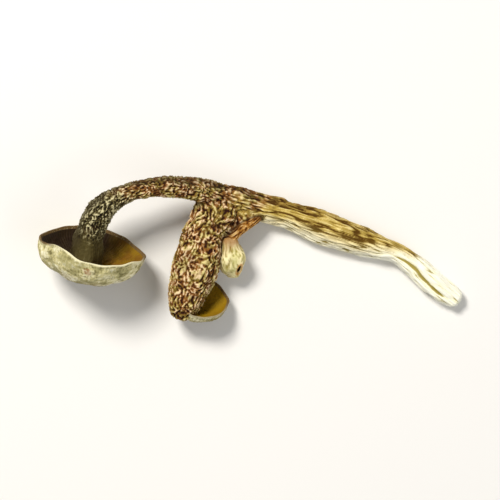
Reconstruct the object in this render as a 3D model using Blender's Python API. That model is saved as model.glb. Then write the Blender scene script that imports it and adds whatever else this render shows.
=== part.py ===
"""Dried deer antler mushroom, lying on a flat surface as it dried.

Two fruit bodies grew from one foot. The long stem rises from the pale foot into an arch and
comes down into the large cap, which stands on its edge. A short stout stem leaves it at the
fork and ends in the small cap, and a bud sits in the crotch. All of it grew as one piece, so
it is one closed solid. Seen from above, +X runs from the large cap to the foot.
"""

import math
from collections import namedtuple

import bmesh
import bpy
import numpy as np
from mathutils import Matrix, Vector

# Every size below is in millimetres, and the scene is in metres.
MM = 0.001

# The places below are moved by this much, so that the origin is under the middle of the whole.
CENTRING = Vector((0.1, 0.25, 0.0))

# The middle of a stem at one place, with half its width and half its height there.
Station = namedtuple("Station", "x y z half_width half_height")

LONG_STEM = (
    Station(35.5, -9.2, 1.6, 1.7, 1.4),
    Station(34.5, -8.5, 1.8, 2.1, 1.75),
    Station(32.3, -6.9, 2.0, 2.35, 2.0),
    Station(29.5, -4.6, 2.0, 2.4, 2.1),
    Station(27.2, -2.4, 1.95, 2.1, 1.95),
    Station(24.6, -0.7, 2.0, 2.0, 2.0),
    Station(21.3, 0.4, 2.1, 2.5, 2.15),
    Station(17.2, 1.8, 2.3, 3.0, 2.35),
    Station(11.5, 3.8, 2.3, 3.2, 2.45),
    Station(6.3, 5.7, 2.45, 2.75, 2.6),
    Station(1.0, 7.3, 3.1, 2.75, 2.7),
    Station(-4.2, 8.7, 5.0, 2.6, 2.6),
    Station(-8.6, 9.7, 7.3, 2.35, 2.4),
    Station(-12.8, 10.2, 9.4, 2.15, 2.2),
    Station(-17.0, 10.0, 11.0, 2.0, 2.1),
    Station(-20.5, 9.2, 11.7, 2.0, 2.1),
    Station(-23.4, 7.7, 11.6, 2.2, 2.3),
    Station(-25.6, 5.5, 10.9, 2.6, 2.6),
    Station(-26.9, 2.5, 9.7, 2.8, 2.8),
    Station(-27.6, -0.6, 8.5, 3.2, 3.2),
    Station(-28.3, -3.9, 7.4, 3.6, 3.6),
)

SHORT_STEM = (
    Station(-4.9, 8.2, 4.9, 3.6, 2.2),
    Station(-5.9, 6.0, 5.3, 4.2, 2.6),
    Station(-7.5, 3.4, 6.0, 3.7, 2.85),
    Station(-8.5, 0.2, 6.4, 4.1, 2.95),
    Station(-9.35, -3.3, 6.3, 4.4, 3.1),
    Station(-10.5, -6.9, 5.6, 3.8, 3.3),
    Station(-11.3, -9.8, 5.0, 3.1, 3.75),
    Station(-11.9, -12.3, 4.6, 1.9, 2.4),
)

BUD = (
    Station(-4.0, 2.4, 5.3, 1.3, 1.2),
    Station(-3.6, 0.7, 5.2, 2.0, 1.8),
    Station(-3.35, -1.0, 4.8, 2.7, 2.4),
    Station(-3.1, -2.6, 4.5, 2.65, 2.2),
    Station(-2.65, -3.9, 4.1, 1.8, 1.5),
    Station(-2.1, -5.0, 3.9, 0.65, 0.6),
)

BUD_STALK = (
    Station(3.0, 7.0, 3.4, 0.9, 0.9),
    Station(0.8, 4.8, 4.5, 0.9, 0.9),
    Station(-1.0, 3.7, 5.2, 1.0, 1.0),
    Station(-2.6, 2.4, 5.6, 1.15, 1.1),
    Station(-4.0, 0.9, 5.5, 1.3, 1.2),
)

CROTCH = (
    Station(1.4, 6.3, 3.6, 0.9, 1.1),
    Station(-1.0, 5.2, 4.2, 1.2, 1.2),
    Station(-3.4, 4.5, 4.7, 1.6, 1.3),
    Station(-5.6, 4.4, 5.0, 1.6, 1.4),
)

# A cap is a bowl. Its opening has a centre, and it faces along heading and rise, in degrees.
# The bowl's skin is depth deep, its gills lie hollow deep below the rim, and its crown is lean
# to the side of the middle. On that side its radius is less by the share narrow, and its rim
# droops at both ends, and curls in by the length curl.
Cap = namedtuple("Cap", "centre heading rise radius depth lean narrow droop curl hollow edge gills gill_depth")

LARGE_CAP = Cap((-26.3, 0.5, 9.0), 78.0, 20.0, 9.3, 6.3, 0.8, 0.02, 1.0, 1.6, 4.0, 0.8, 26, 0.7)
SMALL_CAP = Cap((-8.5, -8.2, 4.4), 75.5, 41.5, 5.2, 3.3, 0.3, 0.25, 0.6, 0.0, 2.0, 0.7, 20, 0.4)

STEM_SIDES = 20
TWIG_SIDES = 14
STEM_STEP = 1.4
TWIG_STEP = 1.0
CURVE_STEPS = 12
SKIN_ROWS = 9
EDGE_ROWS = 3
GILL_ROWS = 7

# How far a stem's blunt end takes to reach its full width, and its rings there.
END_ROUND = 0.8
END_ROWS = 4

# Long folds that run down a stem, as shares of its radius.
FOLD_DEPTH = 0.08
FOLDS = 5
FOLD_TURN = 0.11

# How square the two sides of a cap are: 2 is round, and more is fuller near the rim.
SKIN_FULLNESS = 2.35
HOLLOW_FULLNESS = 2.6

# Waves round a cap's margin, as shares of its radius.
MARGIN_WAVE = 0.022
RIM_WAVE = 0.03

# How much a cap's outline is drawn in between its two ends, as a share of its radius.
LENS_SHAPE = 0.035

# The places where a rim curls in: the angle, how narrow the place is, and its share of the curl.
CURLS = ((0.85, 8.0, 1.0), (2.6, 20.0, 0.45))

# The block that stands for the surface and flattens the places that lie on it.
SURFACE_SPAN = 90.0
SURFACE_DEPTH = 6.0

SKIN_COLOUR = (0.29, 0.17, 0.09, 1.0)
SKIN_ROUGHNESS = 0.8


def smooth_curve(stations):
    """The smooth curve through the stations, finely stepped, and how far along it each step is."""
    given = np.array(stations, dtype=float)
    padded = np.vstack([2 * given[0] - given[1], given, 2 * given[-1] - given[-2]])
    curve = []
    for before, start, end, after in zip(padded, padded[1:], padded[2:], padded[3:]):
        for share in np.linspace(0.0, 1.0, CURVE_STEPS, endpoint=False):
            slope = (end - before) * share
            bend = (2 * before - 5 * start + 4 * end - after) * share**2
            turn = (3 * start - before - 3 * end + after) * share**3
            curve.append(0.5 * (2 * start + slope + bend + turn))
    curve.append(given[-1])
    curve = np.array(curve)
    steps = np.linalg.norm(np.diff(curve[:, :3], axis=0), axis=1)
    return curve, np.concatenate([[0.0], np.cumsum(steps)])


def stem_course(stations, step):
    """For each ring of a stem: how far along it is, its station, and its share of full width."""
    curve, travelled = smooth_curve(stations)
    total = travelled[-1]
    end = END_ROUND * (1.0 - np.cos(np.linspace(0.0, math.pi / 2, END_ROWS + 1)))
    middle = np.linspace(END_ROUND, total - END_ROUND, max(3, round(total / step)))
    along = np.concatenate([end, middle[1:-1], total - end[::-1]])
    course = np.column_stack([np.interp(along, travelled, values) for values in curve.T])
    inset = np.minimum(np.minimum(along, total - along) / END_ROUND, 1.0)
    return along, course, np.sqrt(1.0 - (1.0 - inset) ** 2)


def rolled_sheet(rows, columns, place):
    """A sheet rolled into a closed skin: place gives the point at a row and an angle."""
    bm = bmesh.new()
    bmesh.ops.create_grid(bm, x_segments=columns, y_segments=rows - 1, size=1.0)
    for vert in bm.verts:
        angle = (vert.co.x + 1.0) * math.pi
        row = round((vert.co.y + 1.0) / 2.0 * (rows - 1))
        vert.co = (place(row, angle) + CENTRING) * MM
    bmesh.ops.remove_doubles(bm, verts=bm.verts, dist=1e-6)
    bmesh.ops.recalc_face_normals(bm, faces=bm.faces)
    return bm


def stem_skin(stations, sides, step):
    """A stem with long folds and blunt ends."""
    along, course, blunt = stem_course(stations, step)
    tangents = np.gradient(course[:, :3], axis=0)

    def place(row, angle):
        x, y, z, half_width, half_height = course[row]
        tangent = Vector(tangents[row]).normalized()
        side = tangent.cross(Vector((0, 0, 1))).normalized()
        up = side.cross(tangent)
        fold = 1.0 - FOLD_DEPTH * (0.5 - 0.5 * math.cos(FOLDS * angle + FOLD_TURN * along[row]))
        across = side * half_width * math.cos(angle) + up * half_height * math.sin(angle)
        return Vector((x, y, z)) + across * fold * blunt[row]

    return rolled_sheet(len(course), sides, place)


def cap_profile(cap):
    """Radius, height over the rim and share of gill depth, from the crown over the rim to the hollow."""
    profile = []
    for row in range(SKIN_ROWS):
        slant = math.pi / 2 * row / SKIN_ROWS
        reach = math.sin(slant) ** (2 / SKIN_FULLNESS)
        sink = math.cos(slant) ** (2 / SKIN_FULLNESS)
        profile.append((cap.radius * reach, -cap.depth * sink, 0.0))
    half_edge = cap.edge / 2
    for row in range(EDGE_ROWS):
        turn = math.pi * row / (EDGE_ROWS - 1)
        profile.append((cap.radius - half_edge * (1 - math.cos(turn)), half_edge * math.sin(turn), 0.0))
    inner = cap.radius - cap.edge
    for row in range(1, GILL_ROWS + 1):
        reach = 1.0 - row / GILL_ROWS
        depth = cap.hollow * (1.0 - reach**HOLLOW_FULLNESS)
        profile.append((inner * reach, -depth, math.sin(math.pi * reach)))
    return profile


def cap_frame(cap):
    """The way the cap's opening faces, and two directions across it."""
    heading, rise = math.radians(cap.heading), math.radians(cap.rise)
    facing = Vector((math.cos(heading) * math.cos(rise), math.sin(heading) * math.cos(rise), math.sin(rise)))
    level = Vector((0, 0, 1)).cross(facing).normalized()
    return facing, level, facing.cross(level)


def narrowing(sideways):
    """0 on one side of a cap and 1 on the side that is narrow, with a smooth change between."""
    share = min(max(sideways / 0.7, 0.0), 1.0)
    return share * share * (3.0 - 2.0 * share)


def cap_skin(cap):
    """A bowl with a pleated hollow side and a wavy margin."""
    profile = cap_profile(cap)
    facing, level, steep = cap_frame(cap)
    centre = Vector(cap.centre)

    def place(row, angle):
        radius, height, pleat = profile[row]
        reach = radius / cap.radius
        outline = 1.0 + MARGIN_WAVE * reach**2 * math.cos(3 * angle + 0.6)
        outline -= LENS_SHAPE * reach**2 * math.sin(2 * angle) ** 2
        outline *= 1.0 - cap.narrow * narrowing(math.cos(angle))
        lift = RIM_WAVE * cap.radius * reach**3 * math.cos(2 * angle + 1.1)
        lift -= cap.droop * reach**3 * math.cos(angle) ** 2
        for middle, narrow, share in CURLS:
            lift += cap.curl * share * reach**3 * math.exp(narrow * (math.cos(angle - middle) - 1.0))
        pleated = cap.gill_depth * pleat * (0.5 - 0.5 * math.cos(cap.gills * angle))
        across = level * math.cos(angle) + steep * math.sin(angle)
        leaned = level * cap.lean * min(0.0, height) / -cap.depth
        return centre + leaned + across * radius * outline + facing * (height + lift - pleated)

    return rolled_sheet(len(profile), 2 * cap.gills, place)


def add_object(name, bm):
    """An object of this name holding the shape."""
    mesh = bpy.data.meshes.new(name)
    bm.to_mesh(mesh)
    bm.free()
    body = bpy.data.objects.new(name, mesh)
    bpy.context.scene.collection.objects.link(body)
    return body


def add_guide(name, bm):
    """A shape that only joins or cuts the mushroom."""
    guide = add_object(name, bm)
    guide.hide_render = True
    guide.display_type = "WIRE"
    return guide


def combine(body, guide, operation):
    """Join the guide's shape to the body, or cut it away."""
    boolean = body.modifiers.new(f"{operation.lower()} {guide.name}", "BOOLEAN")
    boolean.operation = operation
    boolean.solver = "EXACT"
    boolean.object = guide


def surface_block():
    """The block under the mushroom, with its top at height zero."""
    bm = bmesh.new()
    size = Matrix.Diagonal((SURFACE_SPAN * MM, SURFACE_SPAN * MM, SURFACE_DEPTH * MM, 1.0))
    place = Matrix.Translation((0, 0, -SURFACE_DEPTH * MM / 2))
    bmesh.ops.create_cube(bm, size=1.0, matrix=place @ size)
    return bm


def skin_material():
    """Dry brown mushroom skin."""
    material = bpy.data.materials.new("dried_skin")
    material.use_nodes = True
    shader = material.node_tree.nodes["Principled BSDF"]
    shader.inputs["Base Color"].default_value = SKIN_COLOUR
    shader.inputs["Roughness"].default_value = SKIN_ROUGHNESS
    shader.inputs["Metallic"].default_value = 0.0
    return material


def build():
    """Make the mushroom from its stems, caps and bud."""
    for old in list(bpy.data.objects):
        bpy.data.objects.remove(old, do_unlink=True)

    mushroom = add_object("mushroom", stem_skin(LONG_STEM, STEM_SIDES, STEM_STEP))
    joined = {
        "short_stem": stem_skin(SHORT_STEM, STEM_SIDES, STEM_STEP),
        "large_cap": cap_skin(LARGE_CAP),
        "small_cap": cap_skin(SMALL_CAP),
        "bud": stem_skin(BUD, TWIG_SIDES, TWIG_STEP),
        "bud_stalk": stem_skin(BUD_STALK, TWIG_SIDES, TWIG_STEP),
        "crotch": stem_skin(CROTCH, TWIG_SIDES, TWIG_STEP),
    }
    for name, shape in joined.items():
        combine(mushroom, add_guide(name, shape), "UNION")
    combine(mushroom, add_guide("surface", surface_block()), "DIFFERENCE")

    mushroom.data.materials.append(skin_material())
    mushroom.data.shade_smooth()


build()
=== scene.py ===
"""The looks of a dried deer antler mushroom.

The long stem rises from a pale foot into an arch and comes down into the large cap. A short
stout stem leaves it at the fork and ends in the small cap, and a bud sits in the crotch.
"""

import math
from collections import namedtuple

import bmesh
import bpy
import numpy as np
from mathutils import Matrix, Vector, kdtree, noise


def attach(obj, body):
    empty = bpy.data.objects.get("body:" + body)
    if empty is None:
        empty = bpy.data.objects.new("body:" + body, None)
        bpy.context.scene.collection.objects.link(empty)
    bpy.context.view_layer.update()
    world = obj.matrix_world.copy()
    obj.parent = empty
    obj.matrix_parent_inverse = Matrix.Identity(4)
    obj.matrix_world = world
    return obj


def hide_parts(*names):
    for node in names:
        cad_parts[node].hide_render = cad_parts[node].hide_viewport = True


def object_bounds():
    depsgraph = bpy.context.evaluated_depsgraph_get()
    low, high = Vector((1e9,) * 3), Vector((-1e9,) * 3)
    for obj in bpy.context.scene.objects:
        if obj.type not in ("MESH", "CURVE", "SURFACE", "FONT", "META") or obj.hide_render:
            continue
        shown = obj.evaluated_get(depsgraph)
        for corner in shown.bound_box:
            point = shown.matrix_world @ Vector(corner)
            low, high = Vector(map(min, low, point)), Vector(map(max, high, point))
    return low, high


bl_info = {
    "name": "Dried deer antler mushroom",
    "version": (1, 0, 0),
    "blender": (4, 5, 0),
    "location": "3D View > Sidebar > Mushroom",
    "description": "Builds a dried, forked deer antler mushroom with netted stems and real gills",
    "category": "Add Mesh",
}

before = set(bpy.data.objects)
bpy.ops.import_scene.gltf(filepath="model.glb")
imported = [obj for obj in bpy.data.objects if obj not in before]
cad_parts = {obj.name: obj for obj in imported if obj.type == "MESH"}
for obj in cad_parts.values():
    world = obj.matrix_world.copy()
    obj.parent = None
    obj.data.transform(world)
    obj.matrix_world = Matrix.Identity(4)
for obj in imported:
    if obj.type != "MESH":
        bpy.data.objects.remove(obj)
CAD_LOW, CAD_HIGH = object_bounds()

# Shapes are worked out in millimetres, and the finished meshes are in metres.
MM = 0.001

# Points nearer than this are one point.
WELD = 0.0005

# The places below are moved by this much, so that the origin is under the middle of the whole.
CENTRING = np.array((0.1, 0.25, 0.0))

# A stem is given by its stations: the middle at one place, as x, y and z, and half the width
# and half the height there.
LONG_STEM = (
    (35.5, -9.2, 1.6, 1.7, 1.4),
    (34.5, -8.5, 1.8, 2.1, 1.75),
    (32.3, -6.9, 2.0, 2.35, 2.0),
    (29.5, -4.6, 2.0, 2.4, 2.1),
    (27.2, -2.4, 1.95, 2.1, 1.95),
    (24.6, -0.7, 2.0, 2.0, 2.0),
    (21.3, 0.4, 2.1, 2.5, 2.15),
    (17.2, 1.8, 2.3, 3.0, 2.35),
    (11.5, 3.8, 2.3, 3.2, 2.45),
    (6.3, 5.7, 2.45, 2.75, 2.6),
    (1.0, 7.3, 3.1, 2.75, 2.7),
    (-4.2, 8.7, 5.0, 2.6, 2.6),
    (-8.6, 9.7, 7.3, 2.35, 2.4),
    (-12.8, 10.2, 9.4, 2.15, 2.2),
    (-17.0, 10.0, 11.0, 2.0, 2.1),
    (-20.5, 9.2, 11.7, 2.0, 2.1),
    (-23.4, 7.7, 11.6, 2.2, 2.3),
    (-25.6, 5.5, 10.9, 2.6, 2.6),
    (-26.9, 2.5, 9.7, 2.8, 2.8),
    (-27.6, -0.6, 8.5, 3.2, 3.2),
    (-28.3, -3.9, 7.4, 3.6, 3.6),
)

SHORT_STEM = (
    (-4.9, 8.2, 4.9, 3.6, 2.2),
    (-5.9, 6.0, 5.3, 4.2, 2.6),
    (-7.5, 3.4, 6.0, 3.7, 2.85),
    (-8.5, 0.2, 6.4, 4.1, 2.95),
    (-9.35, -3.3, 6.3, 4.4, 3.1),
    (-10.5, -6.9, 5.6, 3.8, 3.3),
    (-11.3, -9.8, 5.0, 3.1, 3.75),
    (-11.9, -12.3, 4.6, 1.9, 2.4),
)

BUD = (
    (-4.0, 2.4, 5.3, 1.3, 1.2),
    (-3.6, 0.7, 5.2, 2.0, 1.8),
    (-3.35, -1.0, 4.8, 2.7, 2.4),
    (-3.1, -2.6, 4.5, 2.65, 2.2),
    (-2.65, -3.9, 4.1, 1.8, 1.5),
    (-2.1, -5.0, 3.9, 0.65, 0.6),
)

BUD_STALK = (
    (3.0, 7.0, 3.4, 0.9, 0.9),
    (0.8, 4.8, 4.5, 0.9, 0.9),
    (-1.0, 3.7, 5.2, 1.0, 1.0),
    (-2.6, 2.4, 5.6, 1.15, 1.1),
    (-4.0, 0.9, 5.5, 1.3, 1.2),
)

CROTCH = (
    (1.4, 6.3, 3.6, 0.9, 1.1),
    (-1.0, 5.2, 4.2, 1.2, 1.2),
    (-3.4, 4.5, 4.7, 1.6, 1.3),
    (-5.6, 4.4, 5.0, 1.6, 1.4),
)

# A cap is a bowl. Its opening has a centre, and it faces along heading and rise, in degrees.
# The bowl's skin is depth deep, and its crown is lean to the side of the middle. On that side
# its radius is less by the share narrow. The rim is edge thick, droops at both ends, and curls
# in by the length curl. The gills are gill_depth high and lie hollow deep below the rim. Cells
# is how many faces the skin has across, and bright is how strong the painted highlight on the
# rim's upper side and the painted shade on one side of the gills are; below 1 it also dulls
# the skin and gives the gills painted light.
Cap = namedtuple(
    "Cap",
    "centre heading rise radius depth lean narrow droop curl hollow edge gills gill_depth cells bright",
)

LARGE_CAP = Cap(
    centre=(-26.3, 0.5, 9.0), heading=78.0, rise=20.0, radius=9.3, depth=6.3, lean=0.8, narrow=0.02,
    droop=1.0, curl=1.6, hollow=4.0, edge=0.42, gills=96, gill_depth=1.2, cells=176, bright=1.0,
)
SMALL_CAP = Cap(
    centre=(-8.5, -8.2, 4.4), heading=75.5, rise=41.5, radius=5.2, depth=3.3, lean=0.3, narrow=0.25,
    droop=0.6, curl=0.0, hollow=2.0, edge=0.36, gills=68, gill_depth=0.35, cells=116, bright=0.3,
)

# Points of a curve from one station to the next, and the even step at which a course is read.
CURVE_STEPS = 24
COURSE_STEP = 0.25

# How far a stem's blunt end takes to reach its full width, and the rows of its loft there.
END_ROUND = 0.8
END_ROWS = 7

# Long folds that run down a stem, as shares of its radius.
FOLD_DEPTH = 0.08
FOLDS = 5
FOLD_TURN = 0.11

# How square the two sides of a cap are: 2 is round, and more is fuller near the rim.
SKIN_FULLNESS = 2.35
HOLLOW_FULLNESS = 2.6

# Waves round a cap's margin, as shares of its radius.
MARGIN_WAVE = 0.022
RIM_WAVE = 0.03
FINE_WAVE = 0.007
FLUTE_WAVE = 0.008

# How much a cap's outline is drawn in between its two ends, as a share of its radius.
LENS_SHAPE = 0.035

# The places where a rim curls in: the angle, how narrow the place is, and its share of the curl.
CURLS = ((0.85, 8.0, 1.0), (2.6, 20.0, 0.45))


def length(name, description, millimetres):
    """A size that the user can change."""
    return bpy.props.FloatProperty(
        name=name, description=description, default=millimetres * MM, unit="LENGTH", precision=5
    )


def tint(name, description, *screen):
    """A colour that the user can change, given as screen values up to 255."""
    shares = [value / 255 for value in screen]
    default = [s / 12.92 if s <= 0.04045 else ((s + 0.055) / 1.055) ** 2.4 for s in shares]
    return bpy.props.FloatVectorProperty(
        name=name, description=description, default=default, subtype="COLOR"
    )


class StemSettings(bpy.types.PropertyGroup):
    """Sizes and colours of the stems."""

    face_size: length("Face size", "Size of the faces of the stems' skin", 0.157)
    ridge_gap: length("Ridge gap", "Distance from one wrinkle to the next", 1.15)
    ridge_depth: length("Ridge depth", "Depth of the pits between the wrinkles", 0.42)
    lump_depth: length("Lump depth", "Depth of the broad hollows", 0.35)
    crease_depth: length("Crease depth", "Depth of the long creases", 0.22)
    brown_ridge: tint("Brown ridge", "Ridges on the arch", 242, 214, 168)
    brown_slope: tint("Brown slope", "Slopes on the arch", 140, 90, 34)
    brown_pit: tint("Brown pit", "Pits on the arch", 46, 16, 6)
    moss_ridge: tint("Moss ridge", "Ridges in the green patches of the arch", 222, 204, 136)
    moss_slope: tint("Moss slope", "Slopes in the green patches of the arch", 132, 106, 38)
    # The olive zone near the large cap is greenish in its own right, and its darker tones are partly
    # painted shade where the stem goes down into the cap.
    olive_ridge: tint("Olive ridge", "Ridges near the large cap", 212, 202, 156)
    olive_slope: tint("Olive slope", "Slopes near the large cap", 84, 74, 38)
    olive_pit: tint("Olive pit", "Pits near the large cap", 20, 13, 4)
    tan_ridge: tint("Tan ridge", "Ridges on the lower stem", 248, 226, 150)
    tan_slope: tint("Tan slope", "Slopes on the lower stem", 186, 158, 74)
    tan_pit: tint("Tan pit", "Grooves on the lower stem", 88, 58, 8)
    cream_ridge: tint("Cream ridge", "Ridges on the foot", 255, 253, 236)
    cream_slope: tint("Cream slope", "Slopes on the foot", 253, 249, 218)
    cream_pit: tint("Cream pit", "Grooves on the foot", 166, 150, 74)
    dark_patch: tint("Dark patch", "Dark patches of the arch", 70, 42, 14)
    # Painted shade: this dark colour is laid along one side of the arch and stands in for shadow there.
    shade: tint("Shade", "The side of the arch that dried dark", 44, 34, 14)
    band: tint("Band", "The dark band along the lower stem", 92, 64, 14)
    streak: tint("Streak", "Streaks of the lower stem", 124, 92, 24)
    stalk_ridge: tint("Stalk ridge", "Ridges of the bud's stalk", 230, 190, 124)
    stalk: tint("Stalk", "The bud's stalk", 168, 112, 36)
    stalk_pit: tint("Stalk groove", "Grooves of the bud's stalk", 82, 40, 8)
    # Painted shade: the skin is darkened towards this colour in the nook where the bud's stalk meets the
    # stems.
    nook: tint("Nook", "Where the bud's stalk meets the stems", 38, 18, 5)


class CapSettings(bpy.types.PropertyGroup):
    """Sizes and colours of the caps."""

    ridge_gap: length("Ridge gap", "Distance from one wrinkle to the next", 0.75)
    ridge_depth: length("Ridge depth", "Depth of the pits between the wrinkles", 0.11)
    dent_depth: length("Dent depth", "Depth of the dents in the skin", 0.32)
    gill_thickness: length("Gill thickness", "Thickness of one gill at its edge", 0.16)
    crown: tint("Crown", "Skin in the middle of a cap", 140, 118, 78)
    margin: tint("Margin", "Skin near the rim of a cap", 216, 205, 146)
    # Painted highlight: the pale rim colour is laid on the rim's upper side; the dull rim colour is the
    # rim's own brown, which also dulls the small cap's skin.
    rim_painted_highlight: tint("Bright rim", "The side of the rim that dried pale", 236, 228, 188)
    dull_rim: tint("Dull rim", "The side of the rim that dried brown", 104, 80, 44)
    ridge: tint("Ridge", "Ridges of a cap's skin", 252, 248, 216)
    pit: tint("Pit", "Pits and creases of a cap's skin", 104, 96, 54)
    dull_patch: tint("Dull patch", "Greenish patches of a cap's skin", 132, 126, 78)
    pale_patch: tint("Pale patch", "Pale patches of a cap's skin", 255, 252, 228)
    blotch: tint("Blotch", "The small blotch on the large cap", 140, 78, 30)
    gill_edge: tint("Gill edge", "Edges of the gills", 130, 98, 2)
    gill_patch: tint("Gill patch", "Patches of darker gill edges", 118, 80, 2)
    # Painted light: the small cap's gill edges are lightened towards this gold, and its valleys towards
    # the edges, against the shade of its short stem.
    gill_painted_light: tint("Golden gill", "Gills of a cap that dried evenly", 166, 132, 16)
    gill_root: tint("Gill root", "Valleys between the gills", 80, 57, 3)
    # Painted shade: one side of a cap's gills, which the stem shades, is darkened to this colour.
    gill_painted_shade: tint("Dark gill", "Gills on the side that dried dark", 26, 15, 12)


class BudSettings(bpy.types.PropertyGroup):
    """Sizes and colours of the bud."""

    slit_length: length("Slit length", "Length of the slit at the bud's tip", 1.5)
    slit_width: length("Slit width", "Width of the slit at the bud's tip", 0.6)
    skin: tint("Skin", "Skin of the bud", 247, 234, 180)
    crease: tint("Crease", "Creases of the bud", 140, 120, 42)
    green: tint("Green", "Green patches of the bud", 184, 182, 92)
    base: tint("Base", "The bud near its stalk", 150, 96, 40)
    slit_rim: tint("Slit rim", "Rim of the slit", 196, 124, 36)
    slit_dark: tint("Slit", "Inside of the slit", 44, 18, 8)


class StageSettings(bpy.types.PropertyGroup):
    """Floor, lights and camera."""

    floor_size: length("Floor size", "Width of the floor", 3000.0)
    floor_colour: tint("Floor", "Colour of the floor", 238, 236, 232)
    lens: bpy.props.FloatProperty(
        name="Lens", description="Focal length of the camera", default=200.0, unit="CAMERA"
    )
    fill: bpy.props.FloatProperty(
        name="Fill", description="Share of the frame's width that the mushroom takes", default=0.86
    )


# The share of a height at which a pit turns into a slope, and a slope into a ridge.
PIT_TO_SLOPE = (0.02, 0.52)
SLOPE_TO_RIDGE = (0.46, 0.96)

# How much a dry skin shines.
SPECULAR = 0.15


class Socket:
    """A shader socket in an expression; each operator adds its Math node."""

    def __init__(self, shader, output):
        self.shader = shader
        self.output = output

    def maths(self, operation, first, second):
        return self.shader.add("ShaderNodeMath", {"operation": operation}, {0: first, 1: second})

    def __add__(self, other):
        return self.maths("ADD", self, other)

    __radd__ = __add__

    def __sub__(self, other):
        return self.maths("SUBTRACT", self, other)

    def __rsub__(self, other):
        return self.maths("SUBTRACT", other, self)

    def __mul__(self, other):
        return self.maths("MULTIPLY", self, other)

    __rmul__ = __mul__


class Shader:
    """A material under construction."""

    def __init__(self, name):
        self.material = bpy.data.materials.new(name)
        self.material.use_nodes = True
        self.tree = self.material.node_tree
        self.surface = self.tree.nodes["Principled BSDF"]

    def feed(self, socket, value):
        """Link a socket to a value, or set it to a number or colour."""
        if isinstance(value, Socket):
            self.tree.links.new(value.output, socket)
        elif socket.type == "RGBA" and len(value) == 3:
            socket.default_value = (*value, 1.0)
        else:
            socket.default_value = value

    def add(self, kind, settings, inputs, output=0):
        """One node: its settings come first, then the values or links of its sockets."""
        node = self.tree.nodes.new(kind)
        for name, value in settings.items():
            setattr(node, name, value)
        for name, value in inputs.items():
            self.feed(node.inputs[name], value)
        return Socket(self, node.outputs[output])

    def attribute(self, name):
        """A value that the mesh carries at its vertices."""
        return self.add("ShaderNodeAttribute", {"attribute_name": name}, {}, "Fac")

    def grain(self, scale):
        """The place along and across the grain, which the mesh carries at its vertices."""
        place = self.add("ShaderNodeAttribute", {"attribute_name": "grain"}, {}, "Vector")
        return self.add("ShaderNodeVectorMath", {"operation": "MULTIPLY"}, {0: place, 1: scale})

    def place(self):
        """The place in the mushroom, in millimetres."""
        spot = self.add("ShaderNodeTexCoord", {}, {}, "Object")
        scaled = {0: spot, "Scale": 1.0 / MM}
        return self.add("ShaderNodeVectorMath", {"operation": "SCALE"}, scaled)

    def noise(self, place, scale, detail=3.0, roughness=0.55):
        """Cloudy noise from 0 to 1."""
        inputs = {"Vector": place, "Scale": scale, "Detail": detail, "Roughness": roughness}
        return self.add("ShaderNodeTexNoise", {}, inputs)

    def steps(self, value, low, high, to_low=0.0, to_high=1.0):
        """The value eased from one range to another."""
        inputs = {"Value": value, "From Min": low, "From Max": high, "To Min": to_low, "To Max": to_high}
        return self.add("ShaderNodeMapRange", {"interpolation_type": "SMOOTHSTEP"}, inputs)

    def mix(self, share, first, second):
        """The second colour over the first."""
        return self.add("ShaderNodeMix", {"data_type": "RGBA"}, {0: share, 6: first, 7: second}, 2)

    def tones(self, height, pit, slope, ridge):
        """Three colours, one over the other as the height goes from 0 to 1."""
        lower = self.mix(self.steps(height, *PIT_TO_SLOPE), pit, slope)
        return self.mix(self.steps(height, *SLOPE_TO_RIDGE), lower, ridge)

    def bump(self, height, depth):
        """A normal that shows the height, which is depth deep."""
        inputs = {"Height": height, "Distance": depth * MM, "Strength": 1.0}
        return self.add("ShaderNodeBump", {}, inputs)

    def finish(self, colour, roughness, normal):
        """Feed the surface and give the material."""
        self.feed(self.surface.inputs["Base Color"], colour)
        self.feed(self.surface.inputs["Roughness"], roughness)
        self.feed(self.surface.inputs["Normal"], normal)
        self.surface.inputs["Specular IOR Level"].default_value = SPECULAR
        return self.material


def ease(value, low, high):
    """0 below low and 1 above high, with a smooth change between them."""
    share = np.clip((value - low) / (high - low), 0.0, 1.0)
    return share * share * (3.0 - 2.0 * share)


def fade(value, low, high):
    """1 below low and 0 above high, with a smooth change between them."""
    return ease(-value, -high, -low)


def lengthened(vectors):
    """The vectors with length 1."""
    return vectors / np.linalg.norm(vectors, axis=-1, keepdims=True)


# How far one seed's noise lies from the next, and what brings the noise to about 1.
CLOUD_SHIFT = (17.3, 7.9, 31.1)
CLOUD_GAIN = 1.6


def cloud(points, size, seed):
    """Smooth noise from about -1 to 1 at the points, with lumps of about this size."""
    shift = Vector([seed * part for part in CLOUD_SHIFT])
    return np.array([noise.noise(Vector(point) / size + shift) for point in points]) * CLOUD_GAIN


def creases(places, seed, width):
    """Thin wandering creases at the places, from 0 to 1 in the middle of a crease."""
    return np.exp(-((cloud(places, 1.0, seed) / width) ** 2))


# A stem's middle line step by step, with its half sizes and the directions there.
Course = namedtuple("Course", "along middle half_width half_height ahead side up")


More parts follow.
